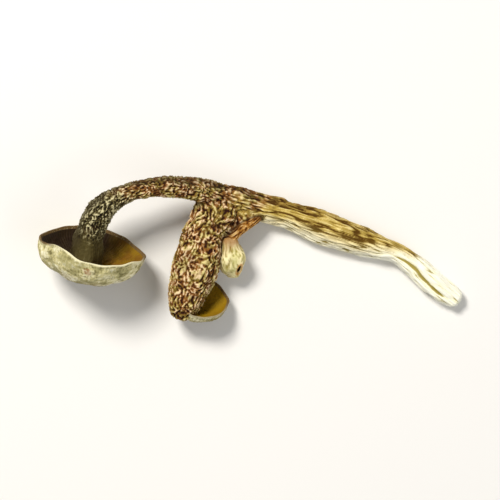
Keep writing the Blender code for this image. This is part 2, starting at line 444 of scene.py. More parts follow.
def stem_course(stations, along=None):
    """The smooth course through a stem's stations, read at even steps or at the places given."""
    given = np.array(stations, dtype=float)
    padded = np.vstack([2 * given[0] - given[1], given, 2 * given[-1] - given[-2]])
    share = np.linspace(0.0, 1.0, CURVE_STEPS, endpoint=False)[:, None]
    spans = []
    for before, start, end, after in zip(padded, padded[1:], padded[2:], padded[3:]):
        bend = (2 * before - 5 * start + 4 * end - after) * share**2
        turn = (3 * start - before - 3 * end + after) * share**3
        spans.append(0.5 * (2 * start + (end - before) * share + bend + turn))
    curve = np.vstack([*spans, given[-1]])
    steps = np.linalg.norm(np.diff(curve[:, :3], axis=0), axis=1)
    travelled = np.concatenate([[0.0], np.cumsum(steps)])
    if along is None:
        along = np.linspace(0.0, travelled[-1], round(travelled[-1] / COURSE_STEP) + 1)
    line = np.column_stack([np.interp(along, travelled, values) for values in curve.T])
    ahead = lengthened(np.gradient(line[:, :3], axis=0))
    side = lengthened(np.cross(ahead, (0.0, 0.0, 1.0)))
    up = np.cross(side, ahead)
    return Course(along, line[:, :3] + CENTRING, line[:, 3], line[:, 4], ahead, side, up)


def read(items, field, width=1, kind=np.float32):
    """A field of a mesh's items: a number for each item, or a row of numbers."""
    flat = np.empty(width * len(items), dtype=kind)
    items.foreach_get(field, flat)
    return flat.reshape(-1, width) if width > 1 else flat


def points_of(mesh):
    """The places of a mesh's vertices."""
    return read(mesh.vertices, "co", 3).astype(float)


def normals_of(mesh):
    """The directions that a mesh's vertices face."""
    return read(mesh.vertex_normals, "vector", 3).astype(float)


def set_points(mesh, points):
    """Move a mesh's vertices to the places."""
    mesh.vertices.foreach_set("co", np.ascontiguousarray(points, dtype=np.float32).ravel())
    mesh.update()


def carry(mesh, **values):
    """Let a mesh's vertices carry numbers or places under their names."""
    for name, value in values.items():
        value = np.ascontiguousarray(value, dtype=np.float32)
        kind, field = ("FLOAT", "value") if value.ndim == 1 else ("FLOAT_VECTOR", "vector")
        mesh.attributes.new(name, kind, "POINT").data.foreach_set(field, value.ravel())


def carried(mesh, name, field="value", width=1):
    """What a mesh's vertices carry under a name."""
    return read(mesh.attributes[name].data, field, width).astype(float)


def closed_mesh(bm, place):
    """A mesh with its points moved to their places and its seams closed.

    place turns the plain points into the real ones, and gives what they carry.
    """
    mesh = bpy.data.meshes.new("closed")
    bm.to_mesh(mesh)
    points, values = place(points_of(mesh))
    set_points(mesh, points)
    carry(mesh, **values)
    bm.clear()
    bm.from_mesh(mesh)
    bmesh.ops.remove_doubles(bm, verts=bm.verts, dist=WELD)
    bmesh.ops.recalc_face_normals(bm, faces=bm.faces)
    bm.to_mesh(mesh)
    bm.free()
    mesh.update()
    return mesh


def rolled_mesh(rows, columns, place, ring=False):
    """A mesh of rows and columns rolled into a closed skin, or into a closed ring.

    place gives the points at all rows and columns at once, and what they carry.
    """
    steps = rows - 1 + ring
    bm = bmesh.new()
    bmesh.ops.create_grid(bm, x_segments=columns, y_segments=steps, size=1.0)

    def rolled(flat):
        row = np.rint((flat[:, 1] + 1) / 2 * steps).astype(int) % rows
        column = np.rint((flat[:, 0] + 1) / 2 * columns).astype(int) % columns
        return place(row, column)

    return closed_mesh(bm, rolled)


def relaxed(points, edges, share, passes):
    """The points moved towards the middle of their neighbours by their share, again and again."""
    count = np.bincount(edges.ravel(), minlength=len(points))
    starts, ends = edges.T
    for _ in range(passes):
        middle = np.empty_like(points)
        for axis, values in enumerate(points.T):
            total = np.bincount(starts, values[ends], len(points))
            total += np.bincount(ends, values[starts], len(points))
            middle[:, axis] = total / count
        points = points + share[:, None] * (middle - points)
    return points


def add_object(name, data):
    """A new object in the scene."""
    added = bpy.data.objects.new(name, data)
    bpy.context.scene.collection.objects.link(added)
    return added


def add_piece(name, mesh, material):
    """A finished piece that stands for the mushroom's CAD node."""
    points = np.maximum(points_of(mesh), (-np.inf, -np.inf, 0.0)) * MM
    set_points(mesh, np.clip(points, CAD_LOW, CAD_HIGH))
    mesh.name = name
    mesh.materials.clear()
    mesh.materials.append(material)
    mesh.shade_smooth()
    piece = add_object(name, mesh)
    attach(piece, "root")
    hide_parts("mushroom")


# How wrinkles grow: the rounds, how steep each makes them, and the steps of the two spreads.
WRINKLE_ROUNDS = 4
WRINKLE_GAIN = 1.3
NEAR_STEPS = 30
FAR_STEPS = 50
GAP_TO_SPREAD = 8.0


def spread(heights, along, around, steps):
    """The heights after they have spread to their neighbours; the columns go round."""
    for _ in range(steps):
        padded = np.pad(heights, ((1, 1), (0, 0)), mode="edge")
        beside = np.pad(heights, ((0, 0), (1, 1)), mode="wrap")
        heights = (
            heights
            + along * (padded[2:] + padded[:-2] - 2 * heights)
            + around * (beside[:, 2:] + beside[:, :-2] - 2 * heights)
        )
    return heights


def grow_wrinkles(rows, columns, row_gap, column_gap, seed, bias):
    """A map of wrinkles, from 0 in a pit to 1 on a ridge.

    Random heights are spread a little and then more, and what differs between the two is made
    steeper, again and again, until ridges meander at an even distance. The gaps between the
    ridges are given in rows and in columns, for each row. The bias makes the ridges wider.
    """
    along = (row_gap[:, None] / GAP_TO_SPREAD) ** 2 / (2 * NEAR_STEPS)
    around = (column_gap[:, None] / GAP_TO_SPREAD) ** 2 / (2 * NEAR_STEPS)
    heights = np.random.default_rng(seed).standard_normal((rows, columns))
    for _ in range(WRINKLE_ROUNDS):
        near = spread(heights, along, around, NEAR_STEPS)
        between = near - spread(near, along, around, FAR_STEPS)
        heights = np.tanh(WRINKLE_GAIN * between / between.std(axis=1, keepdims=True) + bias)
    near = spread(heights, along, around, NEAR_STEPS // 4)
    return 0.5 + 0.5 * near


def read_map(grid, row, column):
    """The map's value between its points; the columns go round."""
    row = np.clip(row, 0, len(grid) - 1.001)
    column = column % grid.shape[1]
    low, left = row.astype(int), column.astype(int)
    right = (left + 1) % grid.shape[1]
    rise, run = row - low, column - left
    below = grid[low, left] * (1 - run) + grid[low, right] * run
    above = grid[low + 1, left] * (1 - run) + grid[low + 1, right] * run
    return below * (1 - rise) + above * rise


def stem_loft(stations, sides, step):
    """A stem's plain closed skin, with its long folds and blunt ends."""
    total = stem_course(stations).along[-1]
    end = END_ROUND * (1.0 - np.cos(np.linspace(0.0, math.pi / 2, END_ROWS)))
    middle = np.linspace(END_ROUND, total - END_ROUND, round(total / step))
    along = np.concatenate([end, middle[1:-1], total - end[::-1]])
    course = stem_course(stations, along)
    inset = np.minimum(np.minimum(along, total - along) / END_ROUND, 1.0)
    blunt = np.sqrt(1.0 - (1.0 - inset) ** 2)

    def place(row, column):
        angle = column / sides * math.tau
        fold = 1.0 - FOLD_DEPTH * (0.5 - 0.5 * np.cos(FOLDS * angle + FOLD_TURN * along[row]))
        wide = (course.half_width[row] * np.cos(angle) * fold * blunt[row])[:, None]
        high = (course.half_height[row] * np.sin(angle) * fold * blunt[row])[:, None]
        return course.middle[row] + course.side[row] * wide + course.up[row] * high, {}

    return rolled_mesh(len(along), sides, place)


def even_mesh(lofts, face_size):
    """One skin round all the lofts, with faces of an even size."""
    joined = bmesh.new()
    for loft in lofts:
        joined.from_mesh(loft)
        bpy.data.meshes.remove(loft)
    mesh = bpy.data.meshes.new("lofts")
    joined.to_mesh(mesh)
    joined.free()
    rough = add_object("lofts", mesh)
    remesh = rough.modifiers.new("even", "REMESH")
    remesh.mode = "VOXEL"
    remesh.voxel_size = face_size
    depsgraph = bpy.context.evaluated_depsgraph_get()
    even = bpy.data.meshes.new_from_object(rough.evaluated_get(depsgraph))
    bpy.data.objects.remove(rough)
    bpy.data.meshes.remove(mesh)
    return even


# Where a point lies on a stem: how far along, its angle round it, and its distance from the
# middle as a share of the radius.
Spot = namedtuple("Spot", "along angle reach")


def spots_on(course, points):
    """Where the points lie on a stem."""
    tree = kdtree.KDTree(len(course.middle))
    for index, place in enumerate(course.middle):
        tree.insert(place, index)
    tree.balance()
    near = np.array([tree.find(point)[1] for point in points])
    offset = points - course.middle[near]
    past = (offset * course.ahead[near]).sum(axis=1)
    wide = (offset * course.side[near]).sum(axis=1) / course.half_width[near]
    high = (offset * course.up[near]).sum(axis=1) / course.half_height[near]
    reach = np.sqrt(wide**2 + high**2 + (past / course.half_width[near]) ** 2)
    return Spot(course.along[near] + past, np.arctan2(high, wide), reach)


# A map of wrinkles: the length of a row in millimetres, and the columns round a stem.
MAP_STEP = 0.15
MAP_SIDES = 144

# The coarse and the fine wrinkles: their share of the height, and their gap as a share.
WRINKLE_SIZES = ((0.6, 1.0), (0.4, 0.55))

# How much the ridges are wider than the pits between them.
STEM_BIAS = 0.12
SKIN_BIAS = 0.1

# The longest wrinkles, in rows of the map. Longer ones would need more steps to spread.
LONGEST_GAP = 4.8 * GAP_TO_SPREAD

# The stems that share one skin, the sides of their lofts, and the length of a row of a loft.
STEMS = (LONG_STEM, SHORT_STEM, BUD_STALK, CROTCH)
STEM_SIDES = (96, 96, 48, 48)
LOFT_STEP = 0.5

# How wide a nook between stems is, how often its skin is smoothed, and how soon the skin of one
# stem turns into the next one's.
NOOK_WIDTH = 0.3
SMOOTH_PASSES = 14
SKIN_CHANGE = 9.0

# Where the long stem changes, in millimetres from its foot: the start and the end of a change.
FOOT_SPAN = (9.0, 20.0)
LOWER_SPAN = (29.0, 47.0)
GROOVED_SPAN = (30.0, 46.0)
CALM_SPAN = (35.0, 47.0)
SHADE_SPAN = (36.0, 44.0)
STRETCH_SPAN = (42.0, 50.0)
ARCH_SPAN = (42.0, 56.0)
OLIVE_SPAN = (58.0, 66.0)

# The smooth base of the long stem in the large cap, from the stem's end.
BASE_SPAN = (-8.2, -5.2)

# A groove along the foot: where it starts and ends, its angle, half its width and its depth.
GROOVE_START = (2.0, 4.0)
GROOVE_END = (12.0, 15.0)
GROOVE_ANGLE = 1.9
GROOVE_WIDTH = 0.17
GROOVE_DEPTH = 0.5


def stem_map(course, gap, stretch, seed):
    """The wrinkles of one stem; their gap and stretch may change along its course."""
    rows = round(course.along[-1] / MAP_STEP) + 1
    along = np.linspace(0.0, course.along[-1], rows)
    plain = np.ones_like(course.along)
    radius = np.interp(along, course.along, (course.half_width + course.half_height) / 2)
    gap = np.interp(along, course.along, gap * plain)
    column_gap = gap / (radius * math.tau / MAP_SIDES)
    stretched = gap * np.interp(along, course.along, stretch * plain) / MAP_STEP
    return grow_wrinkles(
        rows, MAP_SIDES, np.minimum(stretched, LONGEST_GAP), column_gap, seed, STEM_BIAS
    )


def stem_wrinkles(course, spot, gap, stretch, seed, drift):
    """The height of the wrinkles, from 0 to 1, at places on a stem that drift off their rows."""
    height = 0.0
    radius = ((course.half_width + course.half_height) / 2).mean()
    for share, size in WRINKLE_SIZES:
        seed += 1
        wrinkles = stem_map(course, size * gap, stretch, seed)
        row = (spot.along + drift[0]) / course.along[-1] * (len(wrinkles) - 1)
        column = (spot.angle + drift[1] / radius) / math.tau * MAP_SIDES
        height = height + share * read_map(wrinkles, row, column)
    return height


def stem_skin(courses, face_size):
    """The stems as one skin, smoothed most in the nooks where they meet, and its points."""
    lofts = [stem_loft(stations, sides, LOFT_STEP) for stations, sides in zip(STEMS, STEM_SIDES)]
    mesh = even_mesh(lofts, face_size)
    points = points_of(mesh)
    nearest = np.sort([spots_on(course, points).reach for course in courses], axis=0)
    nook = np.exp(-((nearest[1] - nearest[0]) / NOOK_WIDTH) ** 2) * fade(nearest[1], 1.4, 2.0)
    edges = read(mesh.edges, "vertices", 2, np.int32)
    points = relaxed(points, edges, 0.1 + 0.8 * nook, SMOOTH_PASSES)
    set_points(mesh, points)
    return mesh, points


def stem_net(settings, courses, spots, share, points):
    """The height of the net of wrinkles, from 0 to 1, and the points' places along the grain."""
    calm = 1.0 - 0.85 * fade(spots[0].along, *CALM_SPAN) * share[0]
    drift = (0.55 * cloud(points, 2.2, 41), 0.45 * calm * cloud(points, 2.2, 42))
    gap = settings.ridge_gap / MM
    along = courses[0].along
    grooved = fade(along, *GROOVED_SPAN)
    gaps = (gap * (1.0 - 0.35 * grooved - 0.28 * ease(along, *ARCH_SPAN)), gap, 0.7 * gap, gap)
    stretches = (1.15 + 1.0 * fade(along, *STRETCH_SPAN) + 6.0 * grooved, 1.15, 2.5, 1.3)
    lumpy = 0.55 + 0.3 * cloud(points, 0.5, 47)
    ridges = []
    grains = []
    for index, (spot, course) in enumerate(zip(spots, courses)):
        height = stem_wrinkles(course, spot, gaps[index], stretches[index], 10 * index, drift)
        half = course.along[-1] / 2
        end = ease(np.abs(spot.along - half), half - 0.7, half - 0.1) * (index > 0)
        ridges.append(height + end * (lumpy - height))
        grains.append(np.stack([spot.along, 2.5 * np.cos(spot.angle), 2.5 * np.sin(spot.angle)]))
    ridge = (share * ridges).sum(axis=0)
    ridge = 0.5 + (ridge - 0.5) * (1.5 + 0.7 * cloud(points, 1.5, 43))
    ridge += (0.2 - 0.14 * (1.0 - calm)) * cloud(points, 1.0, 44)
    return ridge, (share[:, None] * grains).sum(axis=0).T


def stem_zones(spot, share, points):
    """How far each point lies on the foot, in each zone of the long stem's colours, and in its painted
    shade.
    """
    along = spot.along
    above = np.cos(spot.angle)
    wander = cloud(points, 3.0, 1)
    foot = fade(along + 3.0 * above + 2.0 * wander, *FOOT_SPAN)
    lower = fade(along + 4.0 * above + 5.0 * wander, *LOWER_SPAN)
    level = 0.55 - 0.3 * above
    return foot, {
        "pale": lower * (level + (1.0 - level) * foot) * share,
        "band": lower * (1.0 - foot) * ease(above + 0.2 * wander, -0.1, 0.8) * share,
        # Painted shade along one side of the arch.
        "shade": ease(above + 0.25 * wander, 0.15, 0.75) * ease(along, *SHADE_SPAN) * share,
        # The olive zone: a real greenish tone, darkened partly as painted shade near the large cap.
        "olive": ease(along + 2.0 * wander, *OLIVE_SPAN) * share,
    }


def make_stems(settings):
    """The two stems, the crotch and the bud's stalk as one skin."""
    courses = [stem_course(stations) for stations in STEMS]
    mesh, points = stem_skin(courses, settings.face_size / MM)
    spots = [spots_on(course, points) for course in courses]
    reach = np.array([spot.reach for spot in spots])
    share = np.exp(-SKIN_CHANGE * (reach - reach.min(axis=0)))
    share /= share.sum(axis=0)
    long_stem, _, stalk, _ = share
    ridge, grain = stem_net(settings, courses, spots, share, points)
    foot, zones = stem_zones(spots[0], long_stem, points)

    along = spots[0].along
    fibrous = cloud(points * (1.6, 0.4, 0.4), 1.0, 48)
    base = ease(along - courses[0].along[-1], *BASE_SPAN) * long_stem
    ridge = np.clip(ridge + base * (0.42 + 0.1 * fibrous - 0.75 * ridge), 0.0, 1.0)
    lumps = cloud(points, 2.6, 2) * 0.5 + 0.5
    broad = creases(grain * (0.09, 0.55, 0.55), 45, 0.11)
    fine = creases(grain * (0.1, 1.1, 1.1), 46, 0.11) * (1.0 - foot)
    crease = np.maximum(broad, 0.8 * fine)
    middle = GROOVE_ANGLE + 0.12 * np.sin(along / 2.1)
    inside = ease(along, *GROOVE_START) * fade(along, *GROOVE_END)
    groove = inside * np.exp(-(((spots[0].angle - middle) / GROOVE_WIDTH) ** 2)) * long_stem

    pale = zones["pale"]
    deep = settings.ridge_depth / MM * (1.0 - 0.55 * pale) * (1.0 - 0.55 * stalk)
    lift = -deep * (1.0 - ridge) - settings.lump_depth / MM * lumps * (1.0 - 0.6 * stalk)
    lift -= settings.crease_depth / MM * crease * (1.0 - stalk) * (0.3 + 0.7 * pale)
    lift -= GROOVE_DEPTH * groove
    set_points(mesh, points + normals_of(mesh) * lift[:, None])
    crease = np.maximum(np.maximum(0.5 * broad, 0.7 * fine), groove)
    # Painted shade in the nook where the bud's stalk meets the stems, strongest where the stalk's skin
    # turns into the stems'.
    nook = 4.0 * stalk * (1.0 - stalk)
    carry(mesh, ridge=ridge, crease=crease, base=base, stalk=stalk, nook=nook, grain=grain, **zones)
    add_piece("stems", mesh, stem_material(settings))


def stem_material(settings):
    """Netted skin: light ridges round dark pits, turning to cream grooves on the foot; painted shade
    darkens one side of the arch and the nook of the bud's stalk.
    """
    shader = Shader("netted_skin")
    place = shader.place()
    pale = shader.attribute("pale")
    olive = shader.attribute("olive")
    stalk = shader.attribute("stalk")
    crease = shader.attribute("crease")
    fibre = shader.noise(shader.grain((0.12, 1.6, 1.6)), 2.4, 5.0, 0.6)
    speck = shader.noise(place, 3.4, 4.0, 0.65)
    patch = shader.noise(place, 0.42, 3.0)
    blot = shader.noise(place, 1.6, 2.0, 0.5)

    tan = shader.steps(pale, 0.0, 0.4)
    cream = shader.steps(pale, 0.5, 1.0)
    moss = shader.steps(shader.noise(place, 0.75, 2.0), 0.44, 0.58)

    def zone(brown, olive_green, light, foot):
        colour = shader.mix(olive, brown, olive_green)
        return shader.mix(cream, shader.mix(tan, colour, light), foot)

    brown_ridge = shader.mix(moss, settings.brown_ridge, settings.moss_ridge)
    brown_slope = shader.mix(moss, settings.brown_slope, settings.moss_slope)
    ridge = zone(brown_ridge, settings.olive_ridge, settings.tan_ridge, settings.cream_ridge)
    slope = zone(brown_slope, settings.olive_slope, settings.tan_slope, settings.cream_slope)
    pit = zone(settings.brown_pit, settings.olive_pit, settings.tan_pit, settings.cream_pit)
    height = 0.5 + (shader.attribute("ridge") - 0.5) * (1.0 - 0.4 * tan)
    height = height + 0.5 * (speck - 0.5) - 0.5 * crease
    height = height + (1.1 - 1.0 * tan) * (blot - 0.52)
    height = height + tan * (0.08 + 1.1 * (fibre - 0.5) - 0.6 * crease) + 0.25 * cream
    height = height + shader.attribute("base") * 0.8 * (0.3 + 0.3 * fibre - height)
    colour = shader.tones(height, pit, slope, ridge)

    dark_patch = shader.steps(patch, 0.5, 0.7) * (1.0 - tan)
    colour = shader.mix(dark_patch * 0.4, colour, settings.dark_patch)
    # Painted shade along one side of the arch.
    colour = shader.mix(shader.attribute("shade") * 0.62, colour, settings.shade)
    band = shader.attribute("band") * shader.steps(fibre, 0.46, 0.62)
    colour = shader.mix(band * 0.5, colour, settings.band)
    streak = pale * shader.steps(fibre, 0.44, 0.36)
    colour = shader.mix(streak * (0.9 - 0.8 * pale), colour, settings.streak)
    fibrous = height + 0.5 * (fibre - 0.5)
    stalk_colour = shader.tones(fibrous, settings.stalk_pit, settings.stalk, settings.stalk_ridge)
    colour = shader.mix(shader.steps(stalk, 0.35, 0.8), colour, stalk_colour)
    # Painted shade in the nook of the bud's stalk.
    colour = shader.mix(shader.attribute("nook") * 0.85, colour, settings.nook)
    grit = shader.bump(speck + 0.8 * fibre, 0.08)
    return shader.finish(colour, 0.85 - 0.25 * height, grit)


# Points of a cap's outer section, or its inner one, and those of half its rim.
SECTION_POINTS = 240
RIM_POINTS = 12

# The flesh lies this far below the roots of the gills.
FLESH_GAP = 0.2


def cap_section(cap):
    """The radius and the height of a cap's outer and inner side, from the middle out."""
    slant = np.linspace(0.0, math.pi / 2, SECTION_POINTS)
    radius = cap.radius * np.sin(slant) ** (2 / SKIN_FULLNESS)
    height = -cap.depth * np.cos(slant) ** (2 / SKIN_FULLNESS)
    half_edge = cap.edge / 2
    turn = np.linspace(0.0, math.pi / 2, RIM_POINTS)
    outer = (
        np.concatenate([radius, cap.radius - half_edge * (1 - np.cos(turn))]),
        np.concatenate([height, half_edge * np.sin(turn)]),
    )
    inner_radius = cap.radius - cap.edge
    reach = np.linspace(0.0, 1.0, SECTION_POINTS)
    sunk = cap.hollow * (1.0 - reach**HOLLOW_FULLNESS) + FLESH_GAP * ease(1.0 - reach, 0.0, 0.1)
    inner = (
        np.concatenate([inner_radius * reach, cap.radius - half_edge * (1 + np.cos(turn))]),
        np.concatenate([-sunk, half_edge * np.sin(turn)]),
    )
    return outer, inner


def along_section(section, share):
    """Radius and height at a share of the way along a section."""
    radius, height = section
    steps = np.hypot(np.diff(radius), np.diff(height))
    travelled = np.concatenate([[0.0], np.cumsum(steps)])
    distance = share * travelled[-1]
    return np.interp(distance, travelled, radius), np.interp(distance, travelled, height)


def cap_directions(cap):
    """The way the cap's opening faces, and two directions across it."""
    heading, rise = math.radians(cap.heading), math.radians(cap.rise)
    facing = np.array(
        (math.cos(heading) * math.cos(rise), math.sin(heading) * math.cos(rise), math.sin(rise))
    )
    level = lengthened(np.cross((0.0, 0.0, 1.0), facing))
    return facing, level, np.cross(facing, level)


def cap_points(cap, radius, height, angle):
    """Places on a cap, from their radius and height over the rim and their angle round it."""
    facing, level, steep = cap_directions(cap)
    reach = radius / cap.radius
    outline = 1.0 + MARGIN_WAVE * reach**2 * np.cos(3 * angle + 0.6)
    outline -= LENS_SHAPE * reach**2 * np.sin(2 * angle) ** 2
    outline *= 1.0 - cap.narrow * ease(np.cos(angle), 0.0, 0.7)
    flutes = np.cos(5 * angle + 1.3 + 0.4 * height) + np.cos(9 * angle - 0.7 * height)
    outline += FLUTE_WAVE * reach**2 * flutes
    outline += FINE_WAVE * reach**6 * (np.cos(7 * angle + 1.0) + np.cos(12 * angle + 2.3) - 2.0)
    lift = RIM_WAVE * cap.radius * reach**3 * np.cos(2 * angle + 1.1)
    lift -= cap.droop * reach**3 * np.cos(angle) ** 2
    for middle, narrow, share in CURLS:
        lift += cap.curl * share * reach**3 * np.exp(narrow * (np.cos(angle - middle) - 1.0))
    lift += FINE_WAVE * cap.radius * reach**6 * (np.cos(6 * angle) + 0.8 * np.cos(15 * angle + 0.4))
    across = level * np.cos(angle)[:, None] + steep * np.sin(angle)[:, None]
    lean = level * (cap.lean * np.minimum(0.0, height) / -cap.depth)[:, None]
    outward = across * (radius * outline)[:, None]
    return cap.centre + CENTRING + lean + outward + facing * (height + lift)[:, None]


def disc_spot(x, y):
    """Distance from the middle and angle of the places of a square that is spread on a disc."""
    reach = np.maximum(np.abs(x), np.abs(y))
    safe_x = np.where(np.abs(x) < 1e-9, 1e-9, x)
    safe_y = np.where(np.abs(y) < 1e-9, 1e-9, y)
    flat = np.abs(x) >= np.abs(y)
    sideways = math.pi / 4 * y / safe_x + np.where(x < 0, math.pi, 0.0)
    upwards = math.pi / 2 - math.pi / 4 * x / safe_y + np.where(y < 0, math.pi, 0.0)
    return reach, np.where(flat, sideways, upwards)


# Columns of the map of a cap's wrinkles, and how far the wrinkles wander over the map.
SKIN_COLUMNS = 420
SKIN_WANDER = 3.0

# A small brown blotch on the large cap.
BLOTCH_PLACE = (-26.8, -3.6, 16.9)
BLOTCH_SIZE = 0.6


def skin_map(section, gap, seed):
    """The wrinkles of a cap's skin, which turn long and radial towards the rim."""
    rows = round(np.hypot(*np.diff(section)).sum() / MAP_STEP) + 1
    share = np.linspace(0.0, 1.0, rows)
    radius = np.maximum(along_section(section, share)[0], 1.2)
    row_gap = gap * (1.1 + 2.2 * ease(share, 0.35, 0.95)) / MAP_STEP
    column_gap = gap / (radius * math.tau / SKIN_COLUMNS)
    return grow_wrinkles(rows, SKIN_COLUMNS, row_gap, column_gap, seed, SKIN_BIAS)


def cap_sides(cap, settings, seed, flat):
    """The places of a cap's skin and hollow, given as two flat squares, and what they carry."""
    outer, inner = cap_section(cap)
    half = len(flat) // 2
    outside = np.arange(len(flat)) < half
    reach, angle = disc_spot(flat[:, 0], flat[:, 1])
    radius, height = np.empty(len(flat)), np.empty(len(flat))
    radius[:half], height[:half] = along_section(outer, reach[:half])
    radius[half:], height[half:] = along_section(inner, reach[half:])
    height[half:] -= gill_depth_at(cap, np.minimum(radius[half:] / (cap.radius - cap.edge), 1.0))
    grain = np.stack([radius * np.cos(angle), radius * np.sin(angle), 1.3 * cap.radius * reach]).T
    ridge = 0.0
    for share, size in WRINKLE_SIZES:
        seed += 1
        wrinkles = skin_map(outer, size * settings.ridge_gap / MM, seed)
        row = reach * (len(wrinkles) - 1) + cloud(grain, 2.0, seed) * SKIN_WANDER
        column = angle / math.tau * SKIN_COLUMNS + cloud(grain, 2.0, seed + 5) * SKIN_WANDER
        ridge = ridge + share * read_map(wrinkles, row, column)
    return cap_points(cap, radius, height, angle), {
        "ridge": ridge,
        "reach": np.where(outside, reach, 2.0 - reach),
        # Where the rim gets its painted highlight: its upper side.
        "bright": cap.bright * ease(np.sin(angle) - 0.35 * np.cos(angle), 0.1, 0.8),
        "grain": grain,
    }


def make_cap_flesh(name, cap, settings, seed):
    """A cap's skin, rim and flesh, with wrinkles, dents and folds outside."""
    bm = bmesh.new()
    for _ in range(2):
        bmesh.ops.create_grid(bm, x_segments=cap.cells, y_segments=cap.cells, size=1.0)
    mesh = closed_mesh(bm, lambda flat: cap_sides(cap, settings, seed, flat))
    points = points_of(mesh)
    reach = carried(mesh, "reach")
    grain = carried(mesh, "grain", "vector", 3)

    seed += len(WRINKLE_SIZES)
    skin = fade(reach, 0.93, 1.0)
    thick = 0.25 + 0.75 * fade(reach, 0.5, 0.9)
    dents = 0.9 + 0.5 * cloud(points, 2.2, seed) + 0.4 * cloud(points, 5.5, seed + 1)
    crumple = 1.0 - np.abs(cloud(grain * (0.4, 0.4, 0.75), 1.0, seed + 2))
    crumple *= 0.6 + 0.4 * cloud(points, 3.0, seed + 3)
    lift = settings.ridge_depth / MM * (1.0 - carried(mesh, "ridge"))
    lift = lift + settings.dent_depth / MM * (thick * dents + 0.5 * crumple**4)
    set_points(mesh, points - normals_of(mesh) * (skin * lift)[:, None])
    blotch = np.linalg.norm(points - BLOTCH_PLACE, axis=1) / BLOTCH_SIZE
    blotch = fade(blotch + 0.4 * cloud(points, 0.5, seed), 0.6, 1.2)
    carry(mesh, crumple=crumple**4, blotch=blotch)
    add_piece(name, mesh, cap_material(name, cap, settings))


def cap_material(name, cap, settings):
    """Cap skin: grey brown at the crown, paler towards a thin rim, which is cream on its upper side as a
    painted highlight.
    """
    shader = Shader(name + "_skin")
    place = shader.place()
    reach = shader.attribute("reach")
    speck = shader.noise(place, 3.2, 4.0, 0.65)
    mottle = shader.noise(place, 0.8, 4.0, 0.6)
    streak = shader.noise(shader.grain((0.32, 0.32, 1.1)), 1.15, 4.0, 0.6)
    patch = shader.noise(place, 0.45, 3.0)
    crown = shader.steps(reach + 0.35 * (patch - 0.5), 0.3, 0.75)
    skin = shader.mix(crown, settings.crown, settings.margin)
    light = shader.mix(0.85, skin, settings.ridge)
    dark = shader.mix(0.9, skin, settings.pit)
    outer = shader.steps(reach, 0.3, 0.75)
    height = 0.24 + 0.5 * shader.attribute("ridge") + (1.8 - 0.8 * outer) * (mottle - 0.5)
    height = height + (0.5 + 1.4 * outer) * (streak - 0.5)
    height = height + 0.4 * (speck - 0.5) - 0.35 * shader.attribute("crumple")
    colour = shader.tones(height, dark, skin, light)
    colour = shader.mix(shader.steps(patch, 0.48, 0.6, 0.0, 0.55), colour, settings.dull_patch)
    colour = shader.mix(shader.steps(patch, 0.5, 0.38, 0.0, 0.6) * height, colour, settings.pale_patch)
    colour = shader.mix(0.4 * (1.0 - cap.bright), colour, settings.dull_rim)
    # Painted highlight on the rim's upper side, over the rim's own dull brown.
    rim = shader.mix(shader.attribute("bright"), settings.dull_rim, settings.rim_painted_highlight)
    edge = shader.steps(reach + 0.08 * (streak - 0.5), 0.955, 0.985)
    colour = shader.mix(edge * shader.steps(speck, 0.2, 0.5, 0.4, 1.0), colour, rim)
    colour = shader.mix(shader.attribute("blotch") * (1.1 - height), colour, settings.blotch)
    return shader.finish(colour, 0.85 - 0.2 * height, shader.bump(speck + streak, 0.08))


# Columns of one gill: how far each is from the gill's middle, in thicknesses, and its height.
GILL_COLUMNS = 8
GILL_OFFSET = np.array((0.0, 0.5, 0.85, 0.0, 0.0, 0.0, -0.85, -0.5))
GILL_HEIGHT = np.array((1.0, 0.92, 0.12, 0.0, 0.0, 0.0, 0.12, 0.92))
GILL_ROWS = 56
GILL_BACK_ROWS = 4

# The gills' inner ends as a share of the hollow's radius, how thick the layer under them is, how
# far their edges lie below the hollow, and how uneven their starts, lines and edges are.
GILL_INNER = 0.16
GILL_BACK = 0.3
GILL_DROP = 0.08
GILL_SCATTER = 0.06
GILL_SWAY = 0.1
GILL_ROUGHNESS = 0.12

# Where gills of each length start: every fourth starts at the stem, the others further out.
GILL_STARTS = (0.0, 0.46, 0.2, 0.38)


def gill_depth_at(cap, reach):
    """How deep the gills are at a share of the way out from the middle."""
    return cap.gill_depth * ease(1.0 - reach, 0.0, 0.14) * (0.25 + 0.75 * ease(reach, 0.1, 0.55))


